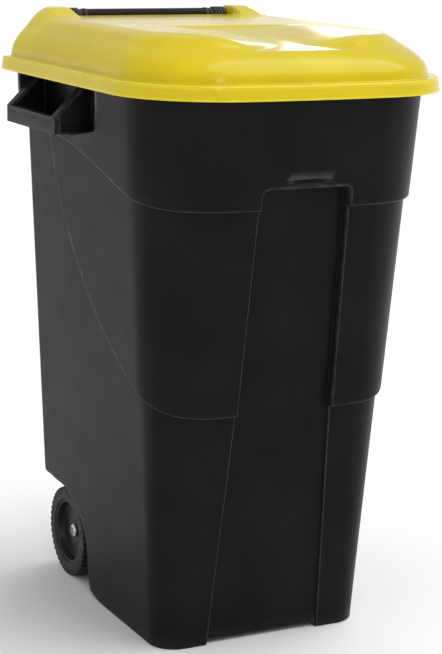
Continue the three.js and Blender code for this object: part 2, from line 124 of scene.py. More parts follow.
RECESS_X = HANDLE_LOW[0] - GAP
RECESS_FRONT, RECESS_REAR = 15, 246
RECESS_LOW, RECESS_HIGH = HANDLE_LOW[2] - GAP, 790
RECESS_CLIMB = 14  # how far its lower edge climbs over RECESS_RUN in front of the handle
RECESS_RUN = 85
RECESS_SLOPE = 119 / 170  # how fast its front end slants out to the side wall

ARCH_FRONT = 103  # from the axle to the front of the wheel arch
ARCH_HEIGHT = 82
ARCH_INNER = 108
BAY_FRONT = WHEEL_Y - 30
BAY_TOP = AXLE_Z + 24
HEEL_START = 50
HEEL_RADIUS = 200

NOTCH_HALF = 137
NOTCH_FRONT = 244


# ---- small maths
def lerp(a, b, share):
    return a + (b - a) * share


def ease(value, start, end):
    """0 at start, 1 at end, with a soft beginning and end."""
    share = np.clip((value - start) / (end - start), 0, 1)
    return share * share * (3 - 2 * share)


def soft_max(a, b, width):
    """The higher of two heights, rounded over where they cross."""
    mix = np.clip(0.5 + 0.5 * (a - b) / width, 0, 1)
    return lerp(b, a, mix) + width * mix * (1 - mix)


def soft_min(a, b, width):
    return -soft_max(-a, -b, width)


def ledge(distance, depth, radius):
    """How far a wall is set back across a step: 0 outside it, depth inside, rounded at lip and root."""
    radius = np.minimum(radius, np.maximum(depth, 1e-6) / 2)
    reach = np.minimum(np.abs(distance), radius)
    rounding = radius - np.sqrt(np.maximum(radius**2 - (radius - reach) ** 2, 0))
    return np.where(distance > 0, rounding, depth - rounding)


def step_places(edge, radius):
    """Places on both sides of an edge that follow a rounded lip and root of that radius."""
    turns = np.radians((0, 22.5, 45, 67.5))
    offsets = np.append(radius * (1 - np.sin(turns)), HAIR)
    return [*(edge - offsets), *(edge + offsets[::-1])]


# ---- meshes
@contextmanager
def edited(mesh):
    """Opens a mesh for editing and writes it back."""
    work = bmesh.new()
    work.from_mesh(mesh)
    yield work
    work.to_mesh(mesh)
    work.free()


def placed(name, data):
    """An object in the scene, from mesh, light or camera data."""
    made = bpy.data.objects.new(name, data)
    bpy.context.scene.collection.objects.link(made)
    return made


def shade(mesh, angle=38):
    """Shades a mesh smooth, with edges sharper than an angle kept crisp."""
    mesh.polygons.foreach_set("use_smooth", np.ones(len(mesh.polygons), bool))
    mesh.set_sharp_from_angle(angle=math.radians(angle))


def mark_wear(mesh):
    """Stores how convex each point is, from 0 to 1, for the lighter and smoother edges of its material."""
    work = bmesh.new()
    work.from_mesh(mesh)
    worn = []
    for vertex in work.verts:
        turns = [edge.calc_face_angle_signed(0.0) for edge in vertex.link_edges]
        sharpest = math.degrees(max(turns, default=0.0))
        worn.append(min(1.0, max(0.0, (sharpest - 8) / 16)))
    work.free()
    attribute = mesh.attributes.new("wear", "FLOAT", "POINT")
    attribute.data.foreach_set("value", worn)


def piece(name, mesh, material, body, node):
    """Finishes a mesh as a visible piece that rides on a body and stands for a CAD node."""
    shade(mesh)
    mark_wear(mesh)
    mesh.materials.clear()
    mesh.materials.append(material)
    made = placed(name, mesh)
    even = made.modifiers.new("even_shading", "WEIGHTED_NORMAL")
    even.keep_sharp = True
    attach(made, body)
    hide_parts(node)


def side_piece(side, kind, mesh, material, node, body="base"):
    """Finishes a mesh made for the right side as the piece of either side."""
    if side == "left":
        mesh.transform(Matrix.Diagonal((-1, 1, 1, 1)))
        mesh.flip_normals()
    piece(f"{side}_{kind}", mesh, material, body, f"{side}_{node}")


def mesh_from(points, faces):
    """A mesh in metres from points in millimetres, welded, with its faces turned outwards."""
    mesh = bpy.data.meshes.new("shape")
    mesh.from_pydata((np.asarray(points, float) * MM).tolist(), [], faces)
    tidy(mesh)
    return mesh


def tidy(mesh, weld=0.004 * MM):
    """Welds points, drops loose ones, closes small holes that a cut leaves and turns the faces outwards."""
    with edited(mesh) as work:
        bmesh.ops.remove_doubles(work, verts=work.verts, dist=weld)
        bmesh.ops.dissolve_degenerate(work, edges=work.edges, dist=weld)
        wires = [edge for edge in work.edges if not edge.link_faces]
        bmesh.ops.delete(work, geom=wires, context="EDGES")
        loose = [vertex for vertex in work.verts if not vertex.link_faces]
        bmesh.ops.delete(work, geom=loose, context="VERTS")
        open_edges = [edge for edge in work.edges if len(edge.link_faces) == 1]
        bmesh.ops.holes_fill(work, edges=open_edges, sides=8)
        bmesh.ops.recalc_face_normals(work, faces=work.faces)


def grid_faces(rings, columns):
    """Quads between closed rings of points numbered ring by ring."""
    faces = []
    for start in range(0, (rings - 1) * columns, columns):
        for column in range(columns):
            here, beside = start + column, start + (column + 1) % columns
            faces.append((here, beside, beside + columns, here + columns))
    return faces


def bevelled(mesh, width, segments=2, angle=30):
    """The mesh with its edges sharper than an angle rounded."""
    with edited(mesh) as work:
        sharp = [edge for edge in work.edges if edge.calc_face_angle(0.0) > math.radians(angle)]
        shape = {"offset_type": "OFFSET", "profile": 0.5, "affect": "EDGES", "clamp_overlap": True}
        bmesh.ops.bevel(work, geom=sharp, offset=width * MM, segments=segments, **shape)
    return mesh


def combined(kind, first, *others):
    """Joins others to the first mesh, or cuts them from it: kind is UNION, DIFFERENCE or INTERSECT."""
    result = first
    for other in others:
        holder, tool = placed("holder", result), placed("tool", other)
        modifier = holder.modifiers.new("cut", "BOOLEAN")
        modifier.operation = kind
        modifier.solver = "EXACT"
        modifier.object = tool
        depsgraph = bpy.context.evaluated_depsgraph_get()
        result = bpy.data.meshes.new_from_object(holder.evaluated_get(depsgraph))
        bpy.data.objects.remove(holder)
        bpy.data.objects.remove(tool)
        tidy(result)
    return result


def block(low, high):
    """A box between two corners, in millimetres."""
    corners = [[x, y, z] for x in (low[0], high[0]) for y in (low[1], high[1]) for z in (low[2], high[2])]
    faces = [(0, 1, 3, 2), (4, 6, 7, 5), (0, 4, 5, 1), (2, 3, 7, 6), (0, 2, 6, 4), (1, 5, 7, 3)]
    return mesh_from(corners, faces)


def prism(outline, start, end, axis):
    """A bar along X or Y between two places, whose section is a list of points in the other two axes."""
    count = len(outline)
    points = [[place, a, b] if axis == "X" else [a, place, b] for place in (start, end) for a, b in outline]
    faces = [(i, (i + 1) % count, (i + 1) % count + count, i + count) for i in range(count)]
    faces += [tuple(range(count - 1, -1, -1)), tuple(range(count, 2 * count))]
    return mesh_from(points, faces)


def turned(profile, axis, segments=72, wave=None):
    """A closed [x, radius] profile turned about an axis along X at (y, z). wave changes its radius."""
    y, z = axis
    points = []
    for step in range(segments):
        angle = 2 * math.pi * step / segments
        for place, (x, radius) in enumerate(profile):
            reach = radius + (wave(place, step) if wave else 0)
            points.append([x, y + reach * math.cos(angle), z + reach * math.sin(angle)])
    faces = []
    count = len(profile)
    for start in range(0, segments * count, count):
        beyond = (start + count) % (segments * count)
        for place in range(count):
            after = (place + 1) % count
            faces.append((start + place, beyond + place, beyond + after, start + after))
    return mesh_from(points, faces)


def rounded(profile, radius, steps=3):
    """A closed [a, b] outline with its corners rounded."""
    made = []
    count = len(profile)
    for i, corner in enumerate(np.asarray(profile, float)):
        before = np.asarray(profile[i - 1], float) - corner
        after = np.asarray(profile[(i + 1) % count], float) - corner
        room = min(np.linalg.norm(before), np.linalg.norm(after)) / 2.05
        if room < 1e-6:
            made.append(corner.tolist())
            continue
        before /= np.linalg.norm(before)
        after /= np.linalg.norm(after)
        cut = min(radius, room)
        for step in range(steps + 1):
            share = step / steps
            start, end = corner + before * cut, corner + after * cut
            curve = (1 - share) ** 2 * start + 2 * share * (1 - share) * corner + share**2 * end
            made.append(curve.tolist())
    return made


def both_ways(half):
    """A full profile from the half with x of 0 or more, whose first point is in the middle."""
    return [(-x, radius) for x, radius in half[:0:-1]] + half


# ---- materials
def shader(name):
    """A new material with its node tree and main shader."""
    material = bpy.data.materials.new(name)
    material.use_nodes = True
    return material, material.node_tree, material.node_tree.nodes["Principled BSDF"]


def feed(tree, node, values):
    """Sets inputs of a node, given by name or number, to constants or to other nodes' outputs."""
    for key, value in values.items():
        if isinstance(value, bpy.types.NodeSocket):
            tree.links.new(value, node.inputs[key])
        else:
            node.inputs[key].default_value = value
    return node


def noise(tree, scale, detail, roughness=0.55):
    """A noise pattern fixed to the bin. Its scale is in features per metre."""
    place = tree.nodes.new("ShaderNodeTexCoord").outputs["Object"]
    pattern = tree.nodes.new("ShaderNodeTexNoise")
    feed(tree, pattern, {"Scale": scale, "Detail": detail, "Roughness": roughness, "Vector": place})
    return pattern.outputs["Fac"]


def ramp(tree, value, stops):
    """Turns a value into a colour by way of (position, colour) stops."""
    node = tree.nodes.new("ShaderNodeValToRGB")
    while len(node.color_ramp.elements) < len(stops):
        node.color_ramp.elements.new(0.5)
    for element, (position, colour) in zip(node.color_ramp.elements, stops):
        element.position = position
        element.color = (*colour, 1.0)
    return feed(tree, node, {"Fac": value}).outputs["Color"]


def mixed(tree, share, low, high):
    """Blends two colours or colour outputs by a value."""
    node = tree.nodes.new("ShaderNodeMix")
    node.data_type = "RGBA"
    ends = [end if isinstance(end, bpy.types.NodeSocket) else (*end, 1.0) for end in (low, high)]
    return feed(tree, node, {"Factor": share, "A": ends[0], "B": ends[1]}).outputs["Result"]


def remapped(tree, value, low, high, from_low, from_high):
    """Stretches a value's range from from_low..from_high to low..high."""
    node = tree.nodes.new("ShaderNodeMapRange")
    ends = {"From Min": from_low, "From Max": from_high, "To Min": low, "To Max": high}
    return feed(tree, node, {**ends, "Value": value}).outputs["Result"]


def combine(tree, operation, first, second):
    """Does arithmetic on two values or value outputs."""
    node = tree.nodes.new("ShaderNodeMath")
    node.operation = operation
    return feed(tree, node, {0: first, 1: second}).outputs["Value"]


def bumped(tree, height, strength, distance, normal=None):
    """A surface normal tilted by a height pattern, on top of another normal if one is given."""
    node = tree.nodes.new("ShaderNodeBump")
    feed(tree, node, {"Strength": strength, "Distance": distance * MM, "Height": height})
    if normal:
        feed(tree, node, {"Normal": normal})
    return node.outputs["Normal"]


def worn_edges(tree):
    """The wear that mark_wear stored."""
    node = tree.nodes.new("ShaderNodeAttribute")
    node.attribute_name = "wear"
    return node.outputs["Fac"]


def moulded_plastic(name, deep, pale, edge, rough, grain, grain_depth, gloss, ripple=0.2):
    """Moulded plastic: cloudy colour, paler edges, a fine spark-eroded grain and a slight long ripple."""
    material, tree, surface = shader(name)
    body = mixed(tree, remapped(tree, noise(tree, 9, 4), 0, 1, 0.35, 0.65), deep, pale)
    flecks = noise(tree, grain * 0.45, 2)
    speckled = mixed(tree, remapped(tree, flecks, 0.0, 0.35, 0.45, 0.75), body, pale)
    patches = remapped(tree, noise(tree, 60, 3), 0.35, 1.0, 0.3, 0.7)
    wear = combine(tree, "MULTIPLY", worn_edges(tree), patches)
    uneven = remapped(tree, noise(tree, 22, 4), rough - 0.03, rough + 0.03, 0.3, 0.7)
    smoother = combine(tree, "MULTIPLY", wear, 0.14)
    long_ripple = bumped(tree, noise(tree, 14, 2), ripple, 0.6)
    feed(tree, surface, {
        "Base Color": mixed(tree, wear, speckled, edge),
        "Roughness": combine(tree, "SUBTRACT", uneven, smoother),
        "Normal": bumped(tree, noise(tree, grain, 2), 0.35, grain_depth, long_ripple),
        "IOR": 1.49,
        "Specular IOR Level": gloss,
    })
    return material


def rubber(name):
    """Black rubber with a dusty bloom and scuffed tread edges."""
    material, tree, surface = shader(name)
    stops = [(0.38, (0.006, 0.006, 0.007)), (0.72, (0.022, 0.021, 0.020))]
    dust = ramp(tree, noise(tree, 38, 6, 0.65), stops)
    patches = remapped(tree, noise(tree, 150, 4), 0.2, 1.0, 0.35, 0.65)
    wear = combine(tree, "MULTIPLY", worn_edges(tree), patches)
    feed(tree, surface, {
        "Base Color": mixed(tree, wear, dust, (0.035, 0.034, 0.033)),
        "Roughness": remapped(tree, noise(tree, 70, 5), 0.5, 0.72, 0.3, 0.7),
        "Normal": bumped(tree, noise(tree, 900, 3), 0.3, 0.25),
        "Specular IOR Level": 0.3,
    })
    return material


def zinc_steel(name):
    """Zinc-plated steel with turning marks and dull patches."""
    material, tree, surface = shader(name)
    feed(tree, surface, {
        "Base Color": ramp(tree, noise(tree, 120, 5), [(0.3, (0.42, 0.42, 0.43)), (0.7, (0.66, 0.66, 0.66))]),
        "Metallic": 1.0,
        "Roughness": remapped(tree, noise(tree, 260, 4), 0.2, 0.42, 0.3, 0.7),
        "Normal": bumped(tree, noise(tree, 1600, 2), 0.15, 0.08),
    })
    return material


charcoal = moulded_plastic(
    "charcoal_plastic",
    deep=(0.0052, 0.0048, 0.0050),
    pale=(0.0095, 0.0090, 0.0095),
    edge=(0.070, 0.070, 0.073),
    rough=0.36,
    grain=900,
    grain_depth=0.16,
    gloss=0.07,
    ripple=0.1,
)
yellow = moulded_plastic(
    "yellow_plastic",
    deep=(0.61, 0.475, 0.008),
    pale=(0.68, 0.540, 0.010),
    edge=(0.80, 0.68, 0.05),
    rough=0.15,
    grain=1300,
    grain_depth=0.02,
    gloss=0.20,
    ripple=0.06,
)
black = moulded_plastic(
    "black_plastic",
    deep=(0.0045, 0.0045, 0.005),
    pale=(0.0085, 0.0085, 0.009),
    edge=(0.016, 0.016, 0.017),
    rough=0.42,
    grain=1000,
    grain_depth=0.10,
    gloss=0.30,
)
tyre_rubber = rubber("tyre_rubber")
steel = zinc_steel("zinc_steel")


# ---- tub wall
FRONT, FRONT_CORNER, SIDE, REAR_CORNER, REAR = range(5)
SIDE_START = -150  # a side point of this place stands where the front corner ends
SIDE_FIXED = -60  # the side's points keep their own Y from here to the rear corner
REAR_FIXED = 120  # the rear's points keep their own X from here to the middle
SIDE_LAST = RECESS_REAR + 1.5


def tier_edge_upper(y):
    return lerp(UPPER_FRONT, UPPER_REAR, ease(y, UPPER_START, UPPER_END))


def tier_edge_lower(y):
    share = np.clip((y - LOWER_START) / (LOWER_END - LOWER_START), 0, 1)
    return lerp(LOWER_REAR, LOWER_FRONT, (1 - share**LOWER_POWER) ** (1 / LOWER_POWER))


def slant(edge, y):
    """How much longer a tier's edge is up the wall than across it, at most 4."""
    slope = edge(y + 0.5) - edge(y - 0.5)
    return np.minimum(np.sqrt(1 + slope**2), 4)


def tier_step(edge, y, z, grow, radius):
    """How far the wall stands in below a tier's lower edge."""
    return ledge((z - edge(y) - grow) / slant(edge, y), TIER_STEP, radius)


def channel_half(z, grow=0.0):
    return np.interp(z, CHANNEL_HEIGHTS, CHANNEL_HALVES) + grow


def front_places():
    """Places across half the front, crowded where the channel's rounded edge is."""
    near = np.array(step_places(2.5, 0.5)) + 0.5
    return [*np.linspace(0, 1, 7)[:-1], *np.linspace(1, 2, 5)[:-1], *near, *np.linspace(3.5, 5, 6)[1:]]


def wall_columns():
    """Stretch of wall and place in it, for each column from the front's middle to the rear's middle."""
    bounds = (SIDE_START, SIDE_FIXED, RECESS_FRONT - 15, RECESS_FRONT + 15, LOWER_END - 50, LOWER_END + 2)
    side = []
    for start, end, count in zip(bounds, bounds[1:], (7, 8, 6, 9, 15)):
        side += [*np.linspace(start, end, count)[1:]]
    side += [*np.linspace(LOWER_END + 2, RECESS_REAR - 1.5, 12)[1:-1], *step_places(RECESS_REAR, 1.5)]
    side += [*np.linspace(SIDE_LAST, SIDE_LAST + 1, 4)[1:-1]]
    rear = [*np.linspace(0, 1, 4)[1:], *np.linspace(1, 2, 17)[1:]]
    stretches = (front_places(), np.linspace(0, 1, 19)[1:], side, np.linspace(0, 1, 10), rear)
    kinds = np.repeat(range(5), [len(places) for places in stretches])
    return kinds, np.concatenate(stretches)


def tub_wall(stretch, place, z):
    """Point and inward direction in plan of the top tier's wall at height z, for arrays of equal shape."""
    drop = LID_SKIRT - z
    share = np.clip(drop / LID_SKIRT, 0, 1)
    half = TUB_HALF - SIDE_DRAFT * drop
    front = TUB_FRONT + FRONT_DRAFT * drop
    rear = TUB_REAR - REAR_DRAFT * drop
    radius = lerp(FRONT_RADIUS, BASE_FRONT_RADIUS, share)
    bow = BOW * (1 - share)
    flat_end = half - radius
    for _ in range(3):
        lean = np.arctan(2 * bow * flat_end / half**2)
        flat_end = half - radius + radius * np.sin(lean)
    corner_y = front + bow * (flat_end / half) ** 2 + radius * np.cos(lean)

    channel = channel_half(z)
    knots = np.stack([np.zeros_like(z), channel - 11, channel - 3, channel, channel + 3, flat_end])
    index = np.clip(place.astype(int), 0, 4)
    start = np.take_along_axis(knots, index[None], 0)[0]
    end = np.take_along_axis(knots, index[None] + 1, 0)[0]
    front_x = lerp(start, end, place - index)
    front_lean = np.arctan(2 * bow * front_x / half**2)

    turn = lerp(lean - np.pi / 2, 0, place)
    share = (place - SIDE_START) / (SIDE_FIXED - SIDE_START)
    side_y = np.where(place < SIDE_FIXED, lerp(corner_y, SIDE_FIXED, share), place)
    last = rear - REAR_RADIUS
    side_y = np.where(place > SIDE_LAST, lerp(SIDE_LAST, last, place - SIDE_LAST), side_y)
    rear_turn = place * np.pi / 2
    rear_x = np.where(place < 1, lerp(half - REAR_RADIUS, REAR_FIXED, place), REAR_FIXED * (2 - place))

    kinds = [stretch == kind for kind in range(5)]
    corner_x = half - radius + radius * np.cos(turn)
    rear_corner_x = half - REAR_RADIUS + REAR_RADIUS * np.cos(rear_turn)
    x = np.select(kinds, [front_x, corner_x, half, rear_corner_x, rear_x])
    front_y = front + bow * (front_x / half) ** 2
    rear_corner_y = last + REAR_RADIUS * np.sin(rear_turn)
    y = np.select(kinds, [front_y, corner_y + radius * np.sin(turn), side_y, rear_corner_y, rear])
    inward_x = np.select(kinds, [-np.sin(front_lean), -np.cos(turn), -1.0, -np.cos(rear_turn), 0.0])
    inward_y = np.select(kinds, [np.cos(front_lean), -np.sin(turn), 0.0, -np.sin(rear_turn), -1.0])
    return x, y, inward_x, inward_y


def channel_distance(x, z, grow):
    """Distance outside the front channel's edge, negative within it."""
    across = np.abs(x) - (channel_half(z, grow) - CHANNEL_RADIUS)
    up = z - (CHANNEL_TOP + grow - CHANNEL_RADIUS)
    corner = np.hypot(np.maximum(across, 0), np.maximum(up, 0))
    return corner + np.minimum(np.maximum(across, up), 0) - CHANNEL_RADIUS


def thumb_nick(x, z):
    """Depth of the short nick above the channel: a crisp upper lip, fading out below it."""
    below = THUMB_TOP - z
    width = np.sqrt(np.clip(1 - (x / THUMB_HALF) ** 2, 0, 1))
    return THUMB_DEPTH * width * ease(below, -0.2, 0.8) * (1 - ease(below, 1.2, THUMB_FALL[-1]))


def recess_low(y):
    """Lower edge of the hand recess, which climbs in front of the handle."""
    return RECESS_LOW + RECESS_CLIMB * np.clip((HANDLE_LOW[1] - y) / RECESS_RUN, 0, 1)


def wall_inset(stretch, x, y, z, grow):
    """How far the wall stands in from the top tier's: its tiers, front channel and hand recess."""
    radius = 1.8
    tiers = tier_step(tier_edge_upper, y, z, grow, radius) + tier_step(tier_edge_lower, y, z, grow, radius)
    panel = 2 * TIER_STEP + CHANNEL_DEPTH - tiers
    at_front = stretch <= FRONT_CORNER
    inset = tiers + np.where(at_front, ledge(channel_distance(x, z, grow), panel, 2.2), 0)
    if grow == 0:
        inset = inset + np.where(at_front, thumb_nick(x, z), 0)

    ahead = np.maximum(RECESS_FRONT - y, 0)
    back = RECESS_X - grow + soft_max(ahead, np.zeros_like(ahead), 8) * RECESS_SLOPE
    room = np.maximum(x - back, 0) * ease(x - back, 0, 4)
    inside = np.minimum(z - recess_low(y) + grow, RECESS_HIGH + grow - z)
    inside = np.minimum(inside, RECESS_REAR - y)
    return inset + np.where((stretch == SIDE) & (room > 0), ledge(-inside, room, 2.0), 0)


def wall_rows(stretch, place, grow):
    """Heights of the wall's points above LOW_ROW for each column, following every edge of the wall."""
    steady = [
        *np.arange(LOW_ROW, 790, 16.0),
        *np.linspace(CHANNEL_TOP + grow - CHANNEL_RADIUS, CHANNEL_TOP + grow - 2, 4),
        *step_places(CHANNEL_TOP + grow, 1.8),
        *step_places(RECESS_HIGH + grow, 2.0),
    ]
    if grow == 0:
        steady += [THUMB_TOP - below for below in THUMB_FALL]
    rows = [np.full(len(place), value) for value in steady]
    recess_y = tub_wall(stretch, place, np.full(len(place), RECESS_LOW))[1]
    rows += [recess_low(recess_y) - grow + offset for offset in step_places(0.0, 2.0)]
    for edge in (tier_edge_upper, tier_edge_lower):
        z = np.full(len(place), 600.0)
        for _ in range(20):
            y = tub_wall(stretch, place, z)[1]
            z = edge(y) + grow
        rows += [z + offset * slant(edge, y) for offset in step_places(0.0, 1.8)]
    return np.maximum(np.sort(np.array(rows), axis=0), LOW_ROW)


LOW_ROW = 260.0  # above this height the wall's columns stand upright


def heel_height(y, grow):
    """Underside of the tub between the arches, where it curves up towards the rear."""
    base = FLOOR + grow if grow else 0
    return np.maximum(y - HEEL_START, 0) ** 2 / (2 * HEEL_RADIUS) + base


def foot_line(stretch, place, grow):
    """Where each column of the wall ends below: its place there, its height, and its stage.

    Stages 0 to 2 run along the side to the wheel arch, 2 to 3 up the arch's straight front, 3 to 4 round it,
    4 to 5 back to the rear corner, 5 to 6 round the rear to the arch's inner side, 6 to 7 down that side
    and 7 to 8 to the middle of the axle bay. The front has stage -1."""
    end_place = place.copy()
    end_z = np.zeros_like(place)
    stages = np.full_like(place, -1.0)
    front = WHEEL_Y - ARCH_FRONT - grow
    crown = AXLE_Z + ARCH_HEIGHT + grow
    toe = float(heel_height(front, grow))
    side_knots = (SIDE_FIXED, 55, 85, 122, 226, SIDE_LAST + 1)
    inner = 2 - (ARCH_INNER - grow) / REAR_FIXED
    for i, (kind, p) in enumerate(zip(stretch, place)):
        if kind == SIDE and p >= SIDE_FIXED:
            stages[i] = stage = np.interp(p, side_knots, range(6))
            if stage <= 2:
                end_place[i] = np.interp(stage, (0, 1, 2), (SIDE_FIXED, 62, front))
                end_z[i] = heel_height(end_place[i], grow)
            elif stage <= 3:
                end_place[i] = front
                end_z[i] = lerp(toe, AXLE_Z, stage - 2)
            elif stage <= 4:
                turn = (stage - 3) * np.pi / 2
                end_place[i] = WHEEL_Y - (ARCH_FRONT + grow) * math.cos(turn)
                end_z[i] = AXLE_Z + (ARCH_HEIGHT + grow) * math.sin(turn)
            else:
                end_place[i] = np.interp(stage, (4, 5), (WHEEL_Y, SIDE_LAST + 1))
                end_z[i] = crown
        elif kind == REAR_CORNER:
            stages[i] = 5 + 0.7 * p
            end_z[i] = crown
        elif kind == REAR:
            stages[i] = np.interp(p, (0, 1, 1.25, 2), (5.7, 6, 7, 8))
            end_place[i] = np.interp(stages[i], (5.7, 6, 7, 8), (0, inner, inner, 2))
            end_z[i] = np.interp(stages[i], (6, 7), (crown, BAY_TOP + grow))
        else:
            raised = FLOOR * (1 - ease(p, 2.3, 2.9)) if kind == FRONT else 0
            end_z[i] = FLOOR + grow if grow else raised
    return end_place, end_z, stages


def wall_points(stretch, place, z, grow, extra=0.0):
    """Points of one row of the wall, set in by grow for the inner skin and by extra for rounding."""
    x, y, inward_x, inward_y = tub_wall(stretch, place, z)
    inset = wall_inset(stretch, x, y, z, grow) + grow + extra
    return np.stack([x + inset * inward_x, y + inset * inward_y, z], -1)


def tub_skin(grow):
    """Half of one skin of the tub, as rows of points from the middle of its underside up to near the rim."""
    stretch, place = wall_columns()
    end_place, end_z, stages = foot_line(stretch, place, grow)
    lip = 2.5 + 4.5 * ease(stages, 4.2, 5.2) if grow == 0 else np.full_like(place, 5.0)
    length = LOW_ROW - end_z
    near = [lip * (1 - math.sin(turn)) for turn in np.radians((90, 67.5, 45, 22.5, 0))]
    shares = [distance / length for distance in near]
    shares += [lerp(lip / length, 1, step / 14) for step in range(1, 14)]
    rows = []
    for share in shares:
        z = lerp(end_z, LOW_ROW, share)
        distance = np.minimum(share * length, lip)
        rounding = lip - np.sqrt(np.maximum(lip**2 - (lip - distance) ** 2, 0))
        rows.append(wall_points(stretch, lerp(end_place, place, share), z, grow, rounding))
    for z in wall_rows(stretch, place, grow):
        rows.append(wall_points(stretch, place, z, grow))
    inward = np.stack(tub_wall(stretch, end_place, end_z)[2:], -1)
    return stretch, place, under_rows(rows[0], inward, stages, grow) + rows


def under_rows(end, inward, stages, grow):
    """Rows of points from the middle of the tub's underside out to the ends of the wall's columns."""
    x, y, z = end.T
    arched = stages > 2
    plane = ARCH_INNER - grow
    low = FLOOR + grow if grow else FLOOR
    foot = 9 if grow == 0 else 3
    bay_front, bay_top = BAY_FRONT - grow, BAY_TOP + grow
    toe = WHEEL_Y - ARCH_FRONT - grow
    rear = y[-1]

    foot_x = np.maximum(x + foot * inward[:, 0], 0)
    foot_y = y + foot * inward[:, 1]
    side_end = np.interp(5, stages, y)
    beside_y = np.interp(stages, (4, 5, 6, 7), (y[np.searchsorted(stages, 4)], side_end - 3, rear - 6, rear))
    beside_y = np.where(stages > 4, np.minimum(beside_y, y), np.where(arched, y, foot_y))
    inner_stages = (2, 3, 3.5, 3.8, 4, 5, 6, 7)
    inner_ys = (toe, toe + 20, bay_front, bay_front, bay_front + 25, side_end - 3, rear - 6, rear)
    inner_y = np.where(arched, np.interp(stages, inner_stages, inner_ys), foot_y)
    climbing = np.interp(stages, (3.5, 3.8), (float(heel_height(bay_front, grow)), bay_top))
    inner_z = np.where(stages >= 3.5, climbing, np.maximum(heel_height(inner_y, grow), low))
    raised = np.where(arched, z, np.maximum(z, inner_z))

    order = np.arange(len(x))
    first_side = np.searchsorted(stages, 0)
    first_bay = np.searchsorted(stages, 4)
    middle_y = inner_y.copy()
    middle_y[:first_side] = np.interp(order[:first_side], (0, first_side), (foot_y[0], inner_y[first_side]))
    middle_y[first_bay:] = np.interp(order[first_bay:], (first_bay, len(x) - 1), (inner_y[first_bay], rear))

    outside_x = np.where(x > plane, np.minimum(plane + HAIR, foot_x), x)
    outside_x = np.where(arched, outside_x, np.clip(foot_x - 2 * HAIR, 0, plane + HAIR))
    inside_x = np.where(arched, np.minimum(plane, x), np.clip(outside_x - HAIR, 0, plane))
    rows = []
    for share, level in ((0.0, z), (1.0, raised)):
        arch_x = lerp(x, outside_x, 0.1 + 0.05 * share)
        arch_y = lerp(y, beside_y, 0.1 + 0.05 * share)
        ring_x = np.where(arched, arch_x, foot_x - HAIR * share)
        ring_y = np.where(arched, arch_y, foot_y)
        rows.append(np.stack([np.maximum(ring_x, 0), ring_y, level], -1))
    rows.append(np.stack([outside_x, beside_y, raised], -1))
    for share in (1.0, 0.75, 0.5, 0.25, 0.0):
        rung_y = lerp(middle_y, inner_y, share**2)
        rows.append(np.stack([inside_x * share, rung_y, inner_z], -1))
    return rows[::-1]


def rim_rows(stretch, place):
    """Rows of points over the rim, from under the outer flange to the top of the inner skin."""
    bottom = TUB_TOP - RIM_HEIGHT
    radius = 1.6
    x, y, inward_x, inward_y = tub_wall(stretch, place, np.full_like(place, TUB_TOP))
    flange = -RIM_WIDTH * ease(y, TUB_REAR - 12, TUB_REAR - 22)
    sections = [(np.zeros_like(flange), bottom - below) for below in (radius, HAIR)]
    quarter = [(math.cos(turn), math.sin(turn)) for turn in np.radians((0, 30, 60, 90))]
    sections += [(flange + radius * (1 - sin_), bottom + radius * (1 - cos_)) for cos_, sin_ in quarter]
    sections += [(flange + radius * (1 - cos_), TUB_TOP - radius * (1 - sin_)) for cos_, sin_ in quarter]
    sections += [(WALL - radius * (1 - sin_), TUB_TOP - radius * (1 - cos_)) for cos_, sin_ in quarter]
    rows = []
    for inset, z in sections:
        reach = np.maximum(inset, flange) if np.ndim(inset) else inset
        rows.append(np.stack([x + reach * inward_x, y + reach * inward_y, np.full_like(x, z)], -1))
    return rows


def mirrored_ring(half):
    """A full ring of points from the half with x of 0 or more."""
    other = half[1:-1][::-1] * np.array([-1, 1, 1])
    return np.concatenate([half, other])


def rear_shelf():
    """The plate that closes the tub under the grip bar. It overlaps the rear wall and isn't welded to it."""
    low = (-150, 240, TUB_TOP - RIM_HEIGHT)
    high = (150, TUB_REAR - 1, TUB_TOP - 0.2)
    return bevelled(block(low, high), 1.2)


def make_tub():
    """One shell: the outer skin, the rim and the inner skin, with the rear shelf laid into it."""
    stretch, place, outer = tub_skin(0)
    _, _, inner = tub_skin(WALL)
    rows = [*outer, *rim_rows(stretch, place), *inner[::-1]]
    for row in (*outer, *inner):
        row[0, 0] = 0.0
        row[-1, 0] = 0.0
    rings = [mirrored_ring(row) for row in rows]
    points = np.concatenate(rings)
    faces = grid_faces(len(rings), len(rings[0]))
    shell = mesh_from(points, faces)
    with edited(shell) as work:
        work.from_mesh(rear_shelf())
    piece("tub_shell", shell, charcoal, "base", "tub")


# ---- lid
SKIRT_TAPER = 1.5
# From the foot of the steep wall to the edge of the flat top: height, then distance in at side, front, rear.
DOME = np.array([
    (LEDGE, 14, 14, 6),
    (LEDGE + 13, 16, 16.5, 7),
    (LEDGE + 23, 21, 26, 8),
    (LEDGE + 33, 29, 42, 8.5),
    (LEDGE + 42, 39, 61, 9),
    (PLATEAU - 5, 54, 82, 11),
    (PLATEAU, 72, 105, 14),
], float)
CROWN_Y = 45  # the rings of the flat top close in on this place
LID_RADII = (142, 41)  # of its front and rear corners in plan, which tighten as a ring stands in

SCOOP_RIM = 128  # half the width of the scoop at its rim
SCOOP_REAR = -14
SCOOP_DROP = 2.4  # height of the step at its rear
SCOOP_FALL = 16.5 / 215  # slope of its floor towards the front

HUMP_FRONT, HUMP_CREST = 205, 254
HUMP_INNER = (133.5, 139)  # from the middle, where the inner side of a hump rises
HUMP_OUTER = (158, 206)
